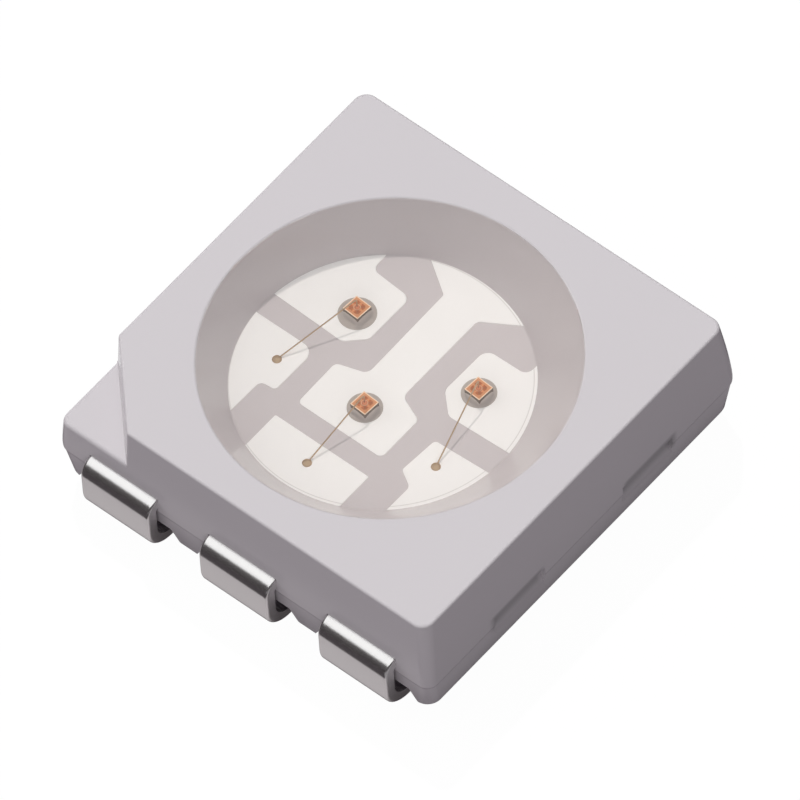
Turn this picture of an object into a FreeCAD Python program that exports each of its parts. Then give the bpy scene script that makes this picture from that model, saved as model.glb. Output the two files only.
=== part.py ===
import FreeCAD, Part
import math
import os

# A surface-mount LED: a white moulded housing with a round reflector cup, six J-shaped leads of one
# lead frame moulded into it, three chips bonded in the cup, and clear resin that fills the cup.
# Millimetres, +Z up. The origin is under the middle of the housing, on the plane of the solder feet.
# The leads come out at the front (-Y) and the back (+Y); the polarity corner is at -X, -Y.

V = FreeCAD.Vector

# Housing
BODY_WIDTH = 5.01           # over the parting land, along X and Y
BODY_TOP = 1.6              # top face over the board
BODY_STANDOFF = 0.12        # underside over the board
LAND_STEP = 0.015           # the parting land stands this proud of the body above and below it
LAND_HEIGHT = 0.08
TOP_LEAN = 0.06             # each side leans in by this from the land up to the top face
BOTTOM_LEAN = 0.06          # and by this from the land down to the underside
TOP_CORNER_RADIUS = 0.15
WAIST_CORNER_RADIUS = 0.13  # beside the land
LAND_CORNER_RADIUS = 0.12
BOTTOM_CORNER_RADIUS = 0.22
TOP_EDGE_RADIUS = 0.025
BOTTOM_EDGE_RADIUS = 0.12

# Polarity corner: the upper half is cut off square down to a ledge
CORNER_CUT_X = 0.90
CORNER_CUT_Y = 0.91
CORNER_LEDGE_Z = 1.08
CORNER_DRAFT = 0.04         # the cut wall's foot stands out this far
LEDGE_EDGE_RADIUS = 0.05    # round the outside of the ledge

# Reflector cup
CUP_RIM_MARGIN = 0.415      # top face left between a rim in the middle and the side
CUP_WALL_RUN = 0.405        # the wall comes in by this from the rim down to the floor
CUP_RIM_X = -0.035
CUP_RIM_Y = -0.02
CUP_FLOOR_X = -0.11
CUP_FLOOR_Y = -0.08
FILL_DROP = 0.012           # resin surface under the top face

# Notches that the tie bars leave in the two side faces
TIE_NOTCH_WIDTH = 0.81
TIE_NOTCH_OFFSET = 1.035    # from the middle plane
TIE_NOTCH_DEPTH = 0.10
TIE_NOTCH_TOP = 0.75
TIE_NOTCH_HEIGHT = 0.31

# Lead frame
SHEET = 0.14                # thickness of the plated copper sheet
PARTING_Z = 0.70            # underside of the sheet, where the mould halves meet
LEAD_WIDTH = 0.92
LEAD_END_MARGIN = 0.445     # from the outer leads' edge to the housing's side
LEAD_STANDOUT = 0.165       # outer face of the leads from the parting land
UPPER_BEND_RADIUS = 0.19    # outside of the bend beside the housing
LOWER_BEND_RADIUS = 0.36    # outside of the bend at the board
FOOT_LENGTH = 0.82          # from the outer face to the tip under the housing
STAMPED_EDGE_RADIUS = 0.035 # rounding that stamping leaves along the outer side of each lead

# Pockets under the housing that the feet lie in
POCKET_HEIGHT = 0.28        # ceiling over the board
POCKET_SIDE = 0.14          # room beside the foot at the ceiling
POCKET_FLARE = 0.12         # by which each side leans out down to the underside
POCKET_TIP = 0.05           # room at the foot's tip

# Chips, their glue, contacts and wires
CHIP_SIDE = 0.215
CHIP_HEIGHT = 0.135
GLUE_DIAMETER = 0.38
WIDE_GLUE_DIAMETER = 0.415  # the left chip's spot ran out further
GLUE_LINE = 0.012           # glue under the chip
GLUE_CLIMB = 0.03           # height to which the glue wets the chip's sides
CONTACT_THICKNESS = 0.005
CONTACT_PAD_DIAMETER = 0.085
CONTACT_ARM_WIDTH = 0.018
CONTACT_MARGIN = 0.022      # from the contact's outer frame to the chip's edge
CONTACT_FRAME_WIDTH = 0.014
WIRE_DIAMETER = 0.024
CHIP_BALL_DIAMETER = 0.06
CHIP_BALL_HEIGHT = 0.02
PAD_BALL_DIAMETER = 0.105
PAD_BALL_HEIGHT = 0.028
WIRE_RISE = 0.24            # from the chip's ball up to the knee
WIRE_BEND_RADIUS = 0.06

# Worked out from the sizes above
FRAME_TOP = PARTING_Z + SHEET
LAND_HALF = BODY_WIDTH / 2
LEAD_FACE_Y = LAND_HALF + LEAD_STANDOUT
LEAD_PITCH = LAND_HALF - LEAD_END_MARGIN - LEAD_WIDTH / 2
LAND_BOTTOM = PARTING_Z - LAND_HEIGHT
WAIST_HALF = LAND_HALF - LAND_STEP
TOP_HALF = WAIST_HALF - TOP_LEAN
BOTTOM_HALF = WAIST_HALF - BOTTOM_LEAN
CUP_RIM_DIAMETER = 2 * (TOP_HALF - CUP_RIM_MARGIN)
CUP_FLOOR_DIAMETER = CUP_RIM_DIAMETER - 2 * CUP_WALL_RUN
CHIP_BASE = FRAME_TOP + GLUE_LINE
CHIP_TOP = CHIP_BASE + CHIP_HEIGHT
CONTACT_TOP = CHIP_TOP + CONTACT_THICKNESS
LEAD_X = {"left": -LEAD_PITCH, "middle": 0.0, "right": LEAD_PITCH}

# The pattern on the cup's floor is drawn for a floor of 3.22 mm and grows with it
PLAN = CUP_FLOOR_DIAMETER / 3.22


def on_plan(*place):
    """A place or a rounding of the floor's pattern, at the floor's own size."""
    return tuple(value * PLAN for value in place)


# Centres of the chips and of the bonds on the front pads, and centre and diameter of each glue spot
CHIPS = {"left": on_plan(-0.880, 0.435), "middle": on_plan(-0.047, -0.442), "right": on_plan(0.764, 0.429)}
PAD_BONDS = {"left": on_plan(-1.155, -0.538), "middle": on_plan(-0.074, -1.343),
             "right": on_plan(1.003, -0.557)}
GLUE_SPOTS = {"left": (*on_plan(-0.868, 0.418), WIDE_GLUE_DIAMETER), "middle": (*CHIPS["middle"], GLUE_DIAMETER),
              "right": (*CHIPS["right"], GLUE_DIAMETER)}


def rounded_outline(corners, z):
    """A closed wire through (x, y, radius) corners, each rounded by its own arc."""
    count = len(corners)
    pieces = []
    starts = []
    for i, (x, y, radius) in enumerate(corners):
        here = V(x, y, z)
        before = V(*corners[i - 1][:2], z) - here
        after = V(*corners[(i + 1) % count][:2], z) - here
        before.normalize()
        after.normalize()
        if radius == 0:
            starts.append((here, here, None))
            continue
        half_angle = before.getAngle(after) / 2
        setback = radius / math.tan(half_angle)
        middle_way = before + after
        middle_way.normalize()
        nearest = radius / math.sin(half_angle) - radius
        starts.append((here + before * setback, here + after * setback, here + middle_way * nearest))
    for i, (first, last, through) in enumerate(starts):
        if through is not None:
            pieces.append(Part.Arc(first, through, last).toShape())
        following = starts[(i + 1) % count][0]
        if last.distanceToPoint(following) > 1e-6:
            pieces.append(Part.LineSegment(last, following).toShape())
    return Part.Wire(pieces)


def rounded_square(half, radius, z):
    corners = [(-half, -half, radius), (half, -half, radius), (half, half, radius), (-half, half, radius)]
    return rounded_outline(corners, z)


def tapered_block(lower, upper):
    """A solid between two rounded squares, each given as (half width, corner radius, z)."""
    wires = [rounded_square(half, radius, z) for half, radius, z in (lower, upper)]
    return Part.makeLoft(wires, True, True)


def circle_wire(x, y, z, diameter):
    return Part.Wire(Part.makeCircle(diameter / 2, V(x, y, z)))


def plate(corners, bottom, thickness):
    return Part.Face(rounded_outline(corners, bottom)).extrude(V(0, 0, thickness))


def cup(top_z):
    """The cup's volume from its floor up to a level, wider and a little further along at the rim."""
    share = (top_z - FRAME_TOP) / (BODY_TOP - FRAME_TOP)
    x = CUP_FLOOR_X + (CUP_RIM_X - CUP_FLOOR_X) * share
    y = CUP_FLOOR_Y + (CUP_RIM_Y - CUP_FLOOR_Y) * share
    diameter = CUP_FLOOR_DIAMETER + (CUP_RIM_DIAMETER - CUP_FLOOR_DIAMETER) * share
    floor = circle_wire(CUP_FLOOR_X, CUP_FLOOR_Y, FRAME_TOP, CUP_FLOOR_DIAMETER)
    return Part.makeLoft([floor, circle_wire(x, y, top_z, diameter)], True, True)


def corner_cut():
    """The wedge that the polarity corner takes off, from its ledge to above the top face."""
    outside = BODY_WIDTH
    above = BODY_TOP + BODY_STANDOFF
    run_out = CORNER_DRAFT * (above - BODY_TOP) / (BODY_TOP - CORNER_LEDGE_Z)
    wires = []
    for z, inset in ((CORNER_LEDGE_Z, -CORNER_DRAFT), (above, run_out)):
        side_y = -TOP_HALF + CORNER_CUT_Y + inset
        front_x = -TOP_HALF + CORNER_CUT_X + inset
        slope = CORNER_CUT_Y / CORNER_CUT_X
        reach = outside - TOP_HALF
        corners = [(-outside, side_y + reach * slope, 0), (-outside, -outside, 0),
                   (front_x + reach / slope, -outside, 0)]
        wires.append(rounded_outline(corners, z))
    return Part.makeLoft(wires, True, True)


def tie_notches():
    """The wedge-shaped notches in the side faces, deepest at the top and running out downwards."""
    notches = []
    foot = TIE_NOTCH_TOP - TIE_NOTCH_HEIGHT
    share = (foot - BODY_STANDOFF) / (LAND_BOTTOM - BODY_STANDOFF)
    face_at_foot = BOTTOM_HALF + (WAIST_HALF - BOTTOM_HALF) * share
    for side in (-1, 1):
        outside = side * (LAND_HALF + TIE_NOTCH_DEPTH)
        inner = side * (LAND_HALF - TIE_NOTCH_DEPTH)
        for y in (-TIE_NOTCH_OFFSET, TIE_NOTCH_OFFSET):
            y_start = y - TIE_NOTCH_WIDTH / 2
            profile = Part.makePolygon([V(inner, y_start, TIE_NOTCH_TOP), V(outside, y_start, TIE_NOTCH_TOP),
                                        V(outside, y_start, foot), V(side * face_at_foot, y_start, foot),
                                        V(inner, y_start, TIE_NOTCH_TOP)])
            notches.append(Part.Face(profile).extrude(V(0, TIE_NOTCH_WIDTH, 0)))
    return notches


def foot_pockets():
    """Room under the housing for the six solder feet, wider at the underside than at the ceiling."""
    pockets = []
    ceiling = LEAD_WIDTH / 2 + POCKET_SIDE
    mouth = ceiling + POCKET_FLARE * POCKET_HEIGHT / (POCKET_HEIGHT - BODY_STANDOFF)
    inner_y = LEAD_FACE_Y - FOOT_LENGTH - POCKET_TIP
    length = LEAD_FACE_Y - inner_y
    for x in LEAD_X.values():
        for y_start in (inner_y, -inner_y - length):
            profile = Part.makePolygon([V(x - mouth, y_start, 0), V(x + mouth, y_start, 0),
                                        V(x + ceiling, y_start, POCKET_HEIGHT),
                                        V(x - ceiling, y_start, POCKET_HEIGHT), V(x - mouth, y_start, 0)])
            pockets.append(Part.Face(profile).extrude(V(0, length, 0)))
    return pockets


def edges_at(shape, z):
    return [edge for edge in shape.Edges
            if abs(edge.BoundBox.ZMin - z) < 1e-4 and abs(edge.BoundBox.ZMax - z) < 1e-4]


def build_housing(leads):
    upper = tapered_block((WAIST_HALF, WAIST_CORNER_RADIUS, PARTING_Z),
                          (TOP_HALF, TOP_CORNER_RADIUS, BODY_TOP))
    land = tapered_block((LAND_HALF, LAND_CORNER_RADIUS, LAND_BOTTOM),
                         (LAND_HALF, LAND_CORNER_RADIUS, PARTING_Z))
    lower = tapered_block((BOTTOM_HALF, BOTTOM_CORNER_RADIUS, BODY_STANDOFF),
                          (WAIST_HALF, WAIST_CORNER_RADIUS, LAND_BOTTOM))
    upper = upper.cut(corner_cut())
    rim = [edge for edge in edges_at(upper, CORNER_LEDGE_Z)
           if min(edge.CenterOfMass.x, edge.CenterOfMass.y) < -LAND_HALF + LAND_CORNER_RADIUS]
    upper = upper.makeFillet(LEDGE_EDGE_RADIUS, rim)
    upper = upper.makeFillet(TOP_EDGE_RADIUS, edges_at(upper, BODY_TOP))
    lower = lower.makeFillet(BOTTOM_EDGE_RADIUS, edges_at(lower, BODY_STANDOFF))
    body = upper.fuse([land, lower])
    return body.cut([cup(BODY_TOP)] + tie_notches() + foot_pockets() + leads)


def outer_side_edges(strip, face):
    """The edges of a lead's outer side that run along it: over its top, down its face and under its foot."""
    found = []
    for edge in strip.Edges:
        box = edge.BoundBox
        along = box.XLength < 1e-6 and edge.Length > 2 * STAMPED_EDGE_RADIUS
        top = abs(box.ZMax - FRAME_TOP) < 1e-6 and box.ZLength < UPPER_BEND_RADIUS + 1e-6
        front = abs(box.YMin - face) < 1e-6
        under = abs(box.ZMin) < 1e-6 and box.YMin > face
        upright_end = box.YLength < 1e-6 and not front
        if along and (top or front or under) and not upright_end:
            found.append(edge)
    return found


def j_strip(x):
    """The outer part of a front lead: out of the housing, down its face and in under it."""
    face = -LEAD_FACE_Y
    tip = face + FOOT_LENGTH
    root = -WAIST_HALF + SHEET
    upper_inner = UPPER_BEND_RADIUS - SHEET
    lower_inner = LOWER_BEND_RADIUS - SHEET
    upper_centre = V(x, face + UPPER_BEND_RADIUS, FRAME_TOP - UPPER_BEND_RADIUS)
    lower_centre = V(x, face + LOWER_BEND_RADIUS, LOWER_BEND_RADIUS)
    out = V(0, -1, 0)
    up = V(0, 0, 1)
    upper_way = out + up
    upper_way.normalize()
    lower_way = out - up
    lower_way.normalize()

    def arc(centre, start_way, middle_way, end_way, radius):
        points = [centre + way * radius for way in (start_way, middle_way, end_way)]
        return Part.Arc(*points).toShape()

    outer_upper = arc(upper_centre, up, upper_way, out, UPPER_BEND_RADIUS)
    outer_lower = arc(lower_centre, out, lower_way, up * -1, LOWER_BEND_RADIUS)
    inner_lower = arc(lower_centre, up * -1, lower_way, out, lower_inner)
    inner_upper = arc(upper_centre, out, upper_way, up, upper_inner)
    stops = [
        (V(x, root, FRAME_TOP), outer_upper), (None, outer_lower),
        (V(x, tip, 0), None), (V(x, tip, SHEET), inner_lower), (None, inner_upper),
        (V(x, root, PARTING_Z), None),
    ]
    edges = []
    position = None
    for point, bend in stops:
        if point is not None:
            if position is not None:
                edges.append(Part.LineSegment(position, point).toShape())
            position = point
        if bend is not None:
            start = bend.valueAt(bend.FirstParameter)
            edges.append(Part.LineSegment(position, start).toShape())
            edges.append(bend)
            position = bend.valueAt(bend.LastParameter)
    edges.append(Part.LineSegment(position, stops[0][0]).toShape())
    strip = Part.Face(Part.Wire(edges)).extrude(V(LEAD_WIDTH, 0, 0))
    strip.translate(V(-LEAD_WIDTH / 2, 0, 0))
    return strip.makeFillet(STAMPED_EDGE_RADIUS, outer_side_edges(strip, face))


def pad_outlines():
    """Plan of each lead inside the housing: its pad in the cup and its neck to the outside face."""
    half = LEAD_WIDTH / 2
    left, right = LEAD_X["left"], LEAD_X["right"]
    edge = WAIST_HALF - SHEET / 2

    def neck(x, y, radius):
        return (x, *on_plan(y, radius))

    return {
        ("front", "left"): [
            (left - half, -edge, 0), (left + half, -edge, 0), on_plan(-1.12, -1.40, 0),
            on_plan(-1.11, -0.86, 0.07), on_plan(-0.92, -0.84, 0.05), on_plan(-0.915, -0.21, 0.15),
            neck(left - half, -0.21, 0.1)],
        ("front", "middle"): [
            (-half, -edge, 0), (half, -edge, 0), neck(half, -2.10, 0.05), on_plan(0.54, -1.90, 0.05),
            on_plan(0.54, -1.08, 0.02), on_plan(-0.72, -1.08, 0.02), on_plan(-0.72, -1.90, 0.05),
            neck(-half, -2.10, 0.05)],
        ("front", "right"): [
            (right - half, -edge, 0), (right + half, -edge, 0), neck(right + half, -0.25, 0.1),
            on_plan(0.785, -0.31, 0.05), on_plan(0.75, -0.80, 0.05), on_plan(0.95, -0.92, 0.08),
            on_plan(0.94, -1.60, 0.05), neck(right - half, -1.80, 0.05)],
        ("back", "left"): [
            (left + half, edge, 0), (left - half, edge, 0), neck(left - half, 0.09, 0.1),
            on_plan(-0.77, 0.05, 0.1), on_plan(-0.565, 0.25, 0.1), on_plan(-0.56, 0.91, 0.11),
            on_plan(-1.10, 0.95, 0.09)],
        ("back", "middle"): [
            (half, edge, 0), (-half, edge, 0), neck(-half, 2.10, 0.05), on_plan(-0.80, 1.90, 0.05),
            on_plan(-0.80, 1.48, 0.05), on_plan(-0.315, 1.155, 0.05), on_plan(-0.30, -0.09, 0.1),
            on_plan(-0.65, -0.20, 0.07), on_plan(-0.64, -0.82, 0.06), on_plan(0.49, -0.82, 0.07),
            on_plan(0.49, -0.22, 0.08), on_plan(0.175, -0.09, 0.1), on_plan(0.175, 1.11, 0.08),
            on_plan(0.70, 1.43, 0.05), on_plan(0.70, 1.90, 0.05), neck(half, 2.10, 0.05)],
        ("back", "right"): [
            (right + half, edge, 0), (right - half, edge, 0), on_plan(1.03, 1.60, 0.05),
            on_plan(1.01, 0.91, 0.1), on_plan(0.47, 0.90, 0.12), on_plan(0.46, 0.24, 0.13),
            on_plan(0.70, 0.01, 0.1), neck(right + half, 0.06, 0.1)],
    }


def build_leads():
    leads = {}
    for (row, side), corners in pad_outlines().items():
        strip = j_strip(LEAD_X[side])
        if row == "back":
            strip = strip.mirror(V(0, 0, 0), V(0, 1, 0))
        pad = plate(corners, PARTING_Z, SHEET)
        leads["lead_%s_%s" % (row, side)] = pad.fuse(strip).removeSplitter()
    return leads


def build_chip(x, y):
    corner = V(x - CHIP_SIDE / 2, y - CHIP_SIDE / 2, CHIP_BASE)
    return Part.makeBox(CHIP_SIDE, CHIP_SIDE, CHIP_HEIGHT, corner)


def build_glue(x, y, diameter, chip):
    """A round spot of glue, low at its edge and drawn up the chip's sides."""
    rim = 0.25 * GLUE_CLIMB
    radius = diameter / 2
    profile = Part.Wire([
        Part.LineSegment(V(0, 0, 0), V(radius, 0, 0)).toShape(),
        Part.Arc(V(radius, 0, 0), V(0.96 * radius, 0, rim), V(0.88 * radius, 0, 1.6 * rim)).toShape(),
        Part.LineSegment(V(0.88 * radius, 0, 1.6 * rim), V(CHIP_SIDE / 2, 0, GLUE_CLIMB)).toShape(),
        Part.LineSegment(V(CHIP_SIDE / 2, 0, GLUE_CLIMB), V(0, 0, GLUE_CLIMB)).toShape(),
        Part.LineSegment(V(0, 0, GLUE_CLIMB), V(0, 0, 0)).toShape(),
    ])
    spot = Part.Face(profile).revolve(V(0, 0, 0), V(0, 0, 1), 360)
    spot.translate(V(x, y, FRAME_TOP))
    return spot.cut(chip)


def build_contact(x, y):
    """The metal film on the chip's top: a round pad, four arms to the corners and a thin frame."""
    outer = CHIP_SIDE / 2 - CONTACT_MARGIN
    inner = outer - CONTACT_FRAME_WIDTH
    frame = Part.makeBox(2 * outer, 2 * outer, CONTACT_THICKNESS, V(-outer, -outer, 0))
    frame = frame.cut(Part.makeBox(2 * inner, 2 * inner, CONTACT_THICKNESS, V(-inner, -inner, 0)))
    reach = math.sqrt(2) * (outer + inner) / 2
    arms = []
    for angle in (45, 135):
        arm = Part.makeBox(2 * reach, CONTACT_ARM_WIDTH, CONTACT_THICKNESS,
                           V(-reach, -CONTACT_ARM_WIDTH / 2, 0))
        arm.rotate(V(0, 0, 0), V(0, 0, 1), angle)
        arms.append(arm)
    film = Part.makeCylinder(CONTACT_PAD_DIAMETER / 2, CONTACT_THICKNESS).fuse(arms + [frame])
    film.translate(V(x, y, CHIP_TOP))
    return film.removeSplitter()


def bond_ball(diameter, height, neck):
    """A flattened ball with a rounded side and a flat top for the wire."""
    radius = diameter / 2
    top = (diameter + neck) / 4
    profile = Part.Wire([
        Part.LineSegment(V(0, 0, 0), V(0.85 * radius, 0, 0)).toShape(),
        Part.Arc(V(0.85 * radius, 0, 0), V(radius, 0, 0.4 * height), V(top, 0, height)).toShape(),
        Part.LineSegment(V(top, 0, height), V(0, 0, height)).toShape(),
        Part.LineSegment(V(0, 0, height), V(0, 0, 0)).toShape(),
    ])
    return Part.Face(profile).revolve(V(0, 0, 0), V(0, 0, 1), 360)


def build_wire(chip_xy, bond_xy):
    """One bond wire: up from the ball on the chip, over in a tight bend, down to the front pad."""
    span = math.hypot(chip_xy[0] - bond_xy[0], chip_xy[1] - bond_xy[1])
    foot_z = FRAME_TOP + PAD_BALL_HEIGHT / 2
    start = V(0, 0, CONTACT_TOP + CHIP_BALL_HEIGHT / 2)
    knee = V(0, 0, CONTACT_TOP + CHIP_BALL_HEIGHT + WIRE_RISE)
    end = V(span, 0, foot_z)
    down = end - knee
    down.normalize()
    up = V(0, 0, 1)
    half_angle = (up * -1).getAngle(down) / 2
    setback = WIRE_BEND_RADIUS / math.tan(half_angle)
    first = knee - up * setback
    last = knee + down * setback
    middle_way = down - up
    middle_way.normalize()
    through = knee + middle_way * (WIRE_BEND_RADIUS / math.sin(half_angle) - WIRE_BEND_RADIUS)
    path = Part.Wire([
        Part.LineSegment(start, first).toShape(),
        Part.Arc(first, through, last).toShape(),
        Part.LineSegment(last, end).toShape(),
    ])
    section = Part.Wire(Part.makeCircle(WIRE_DIAMETER / 2, start, up))
    wire = path.makePipeShell([section], True, False)
    chip_ball = bond_ball(CHIP_BALL_DIAMETER, CHIP_BALL_HEIGHT, WIRE_DIAMETER)
    chip_ball.translate(V(0, 0, CONTACT_TOP))
    pad_ball = bond_ball(PAD_BALL_DIAMETER, PAD_BALL_HEIGHT, WIRE_DIAMETER)
    pad_ball.translate(V(span, 0, FRAME_TOP))
    whole = chip_ball.fuse([wire, pad_ball])
    heading = math.degrees(math.atan2(bond_xy[1] - chip_xy[1], bond_xy[0] - chip_xy[0]))
    whole.rotate(V(0, 0, 0), up, heading)
    whole.translate(V(chip_xy[0], chip_xy[1], 0))
    return whole


def build_all():
    parts = build_leads()
    inner = {}
    for side, (x, y) in CHIPS.items():
        chip = build_chip(x, y)
        inner["chip_%s" % side] = chip
        inner["chip_glue_%s" % side] = build_glue(*GLUE_SPOTS[side], chip)
        inner["chip_contact_%s" % side] = build_contact(x, y)
        inner["bond_wire_%s" % side] = build_wire((x, y), PAD_BONDS[side])
    resin = cup(BODY_TOP - FILL_DROP).cut(list(inner.values()))
    parts["housing"] = build_housing(list(parts.values()))
    parts.update(inner)
    parts["resin_fill"] = resin
    return parts


def one_solid(name, shape):
    solids = shape.Solids
    if len(solids) != 1 or not solids[0].isValid():
        raise ValueError("%s has %d solids" % (name, len(solids)))
    return solids[0]


os.makedirs("parts", exist_ok=True)
for node, shape in build_all().items():
    solid = one_solid(node, shape)
    solid.exportStep("parts/%s.step" % node)
    print("%-20s %8.4f mm3, %d faces" % (node, solid.Volume, len(solid.Faces)))
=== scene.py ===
import math
import types

import bmesh
import bpy
from bpy.props import FloatProperty, FloatVectorProperty, PointerProperty
from mathutils import Matrix, Vector


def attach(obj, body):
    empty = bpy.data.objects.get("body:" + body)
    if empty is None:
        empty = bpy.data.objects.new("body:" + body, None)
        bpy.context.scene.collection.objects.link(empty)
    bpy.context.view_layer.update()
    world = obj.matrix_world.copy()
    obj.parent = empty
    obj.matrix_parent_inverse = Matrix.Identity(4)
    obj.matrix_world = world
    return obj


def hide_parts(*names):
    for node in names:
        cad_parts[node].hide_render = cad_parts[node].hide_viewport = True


bl_info = {
    "name": "Three-chip LED",
    "version": (1, 0, 0),
    "blender": (4, 5, 0),
    "location": "3D View > Sidebar > LED",
    "description": "Dresses the packed model of a surface-mount LED",
    "category": "Object",
}

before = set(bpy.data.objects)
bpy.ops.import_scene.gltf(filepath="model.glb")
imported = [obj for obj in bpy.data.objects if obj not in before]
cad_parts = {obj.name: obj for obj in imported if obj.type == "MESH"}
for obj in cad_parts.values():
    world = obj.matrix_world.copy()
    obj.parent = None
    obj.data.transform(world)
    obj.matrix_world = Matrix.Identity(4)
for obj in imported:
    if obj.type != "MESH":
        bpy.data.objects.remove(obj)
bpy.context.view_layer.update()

MM = 0.001                  # in metres

# ---- Fixed measures of the part in millimetres, the unit in which its pieces are made

MICRON = 0.001
LOFT_WELD = 1e-5            # rings of a loft closer than this share their points
CUT_WELD = 2e-5             # points that the cuts left closer than this become one
SLIVER = 1e-6               # shorter edges go
OVERLAP = 0.01              # how far a cutter runs on into the next one
CUP_SEGMENTS, GLUE_SEGMENTS, FILM_SEGMENTS = 256, 72, 48

# Places on the cup's floor
CHIPS = {"left": (-0.880, 0.435), "middle": (-0.047, -0.442), "right": (0.764, 0.429)}
CHIP_TURN = math.radians(-3.5)
PAD_BONDS = {"left": (-1.155, -0.538), "middle": (-0.074, -1.343), "right": (1.003, -0.557)}
GLUE_SPOTS = {"left": (-0.868, 0.418, 0.415), "middle": (-0.047, -0.442, 0.38),
              "right": (0.764, 0.429, 0.38)}     # with their diameters

# The cup leans: its middle at the pads, and how far that has moved at the top face
CUP_MIDDLE = (-0.11, -0.08)
CUP_SHIFT = (0.075, 0.06)

# The housing's sides lean in late, by these powers of the way up and down from the land
UPPER_SWELL = 1.4
LOWER_SWELL = 2
# The upright corners lose these shares of a rounded edge's inset
FOOT_CORNER_LOSS, TOP_CORNER_LOSS = 0.8, 0.5
# The soft step under the parting land, as heights from its middle and shares of the step
LAND_PROFILE = ((-0.03, 0.0), (-0.015, 0.1), (0.0, 0.5), (0.015, 0.9), (0.03, 1.0))

# Painted shade at a notch, where its top overhangs: how far it stands out from the notch, and where
# it fades
NOTCH_SHADE_SHIFT = 0.04
NOTCH_SHADE_ENDS = (-0.05, 0.06)              # from half the notch's width
NOTCH_SHADE_FOOT = (-0.26, -0.14)             # from the notch's top
NOTCH_SHADE_HEAD = (0.01, 0.08)
NOTCH_SHADE_REACH = 0.2                       # in from the land, so that only the sides get it

# A fine darker line on the pads just inside the foot of the cup's wall, a circle round this point,
# and how it fades
PAD_RING_CENTRE = (-0.134, -0.075, 0.84)
PAD_RING_RADIUS = 1.585
PAD_RING_HALF = (0.003, 0.008)
PAD_RING_COLOUR, PAD_RING_STRENGTH = (0.3, 0.28, 0.27), 0.3
MATT_REACH = 2.2                        # the leads are matt within this of the middle plane
PAD_METAL, PAD_DULLNESS, SHEARED_DULLNESS = 0.1, 0.3, 0.22

CHIP_CORNER, CHIP_EDGE = 0.008, 0.004
GLUE_LIGHT_HEIGHTS = (0.85, 0.91)                # heights between which the glue is painted paler, painted light against the shade of its slope

# The glue's surface from its round edge to the chip, as shares of the way in and of the climb
GLUE_PROFILE = ((0.0, -0.02), (0.0, 0.01), (0.02, 0.04), (0.08, 0.07), (0.16, 0.1), (0.3, 0.13),
                (0.5, 0.19), (0.68, 0.3), (0.82, 0.46), (0.92, 0.68), (1.0, 1.0))
GLUE_SQUARENESS = 8         # power of the curve with which it closes round the chip
GLUE_UNDERCUT = 0.004       # how far it ends inside the chip's sides

# ---- The studio, in metres

# Name, direction, distance and width of each lamp
LAMPS = (("key", (-0.387, 0.331, 0.861), 0.35, 0.01), ("overhead", (-0.22, 0.12, 0.97), 0.32, 0.2),
         ("fill", (0.447, -0.745, 0.497), 0.33, 0.24), ("side", (-0.80, -0.30, 0.52), 0.33, 0.2))

FLOOR_HALF = 0.6
FLOOR_DROP = 1e-6           # keeps the floor just under the feet
CARD_RADIUS, CARD_HEIGHT, CARD_SIDES = 0.25, 0.2, 96
CARD_COLOUR = (0.106, 0.098, 0.098, 1.0)

# What shiny surfaces see of the floor, a glow of painted light and shade: painted shade under the
# part, a painted pale strip of light before each row of leads, painted white light on the left and
# grey on the right
MIRRORED_SHADE, MIRRORED_STRIP_LIGHT = (0.062, 0.054, 0.058), (0.465, 0.437, 0.447)
MIRRORED_LEFT_LIGHT, MIRRORED_RIGHT_GREY = (0.95, 0.94, 0.95), (0.27, 0.26, 0.27)
FLOOR_LIT, FLOOR_BOUNCE = (0.03, 0.03, 0.03), (0.25, 0.21, 0.25)
FLOOR_GLOW = 0.975

# The photograph's camera, as fitted to the housing, with its lengths in millimetres
VIEW_ROUND, VIEW_UP, VIEW_ROLL = math.radians(43.25), math.radians(55.3), math.radians(-4.2)
VIEW_DISTANCE, VIEW_RIGHT, VIEW_RAISED = 207.79, -0.0042, 0.4727
LENS, SENSOR = 900.0, 36.0


# ---- Sizes and colours that a user would change

def length(name, description, millimetres):
    return FloatProperty(name=name, description=description, default=millimetres * MM, min=0.0,
                         precision=6, unit="LENGTH")


def colour(name, description, value):
    return FloatVectorProperty(name=name, description=description, default=value, min=0.0,
                               max=1.0, size=3, subtype="COLOR")


def share(name, description, value):
    return FloatProperty(name=name, description=description, default=value, min=0.0, max=1.0,
                         subtype="FACTOR")


def power(name, description, watts):
    return FloatProperty(name=name, description=description, default=watts, min=0.0, unit="POWER")


def sizes(part):
    """One part's lengths in millimetres, under their own names."""
    group = getattr(bpy.context.scene, "led_" + part)
    return types.SimpleNamespace(**{name: getattr(group, name) / MM
                                    for name in group.__annotations__})


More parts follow.
